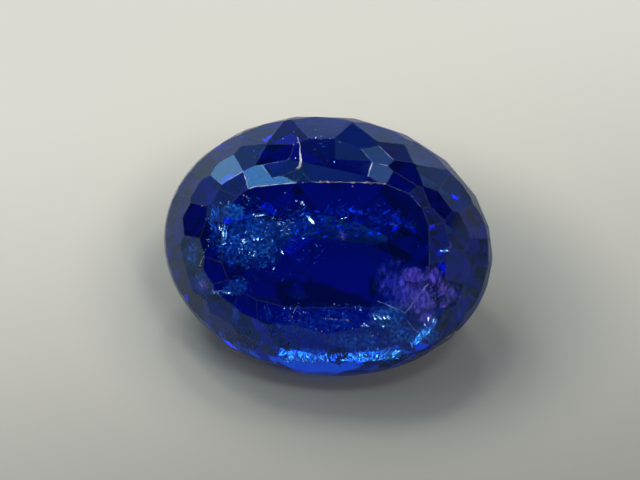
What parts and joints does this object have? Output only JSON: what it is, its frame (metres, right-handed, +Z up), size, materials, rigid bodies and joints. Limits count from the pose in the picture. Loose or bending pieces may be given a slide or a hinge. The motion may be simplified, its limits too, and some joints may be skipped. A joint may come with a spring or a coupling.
{
  "type": "oval faceted tanzanite gemstone",
  "caption": "Loose oval tanzanite, hand faceted, with a rounded rectangular table and a deep pavilion with its keel off the centre, lying tipped on one pavilion facet.",
  "frame": {"origin": "bottom centre of the stone's box, on the surface that it lies on", "axes": "+X along the long axis of the oval girdle; -Y the way the tipped table leans; +Z up, away from the surface"},
  "size_m": [0.01, 0.0066, 0.0059],
  "materials": {
    "tanzanite_crystal": "polished see-through blue crystal with a violet flash, IOR 1.69, worn facet edges and a frosted girdle"
  },
  "bodies": {
    "root": {"tanzanite": "tanzanite_crystal"}
  },
  "joints": []
}
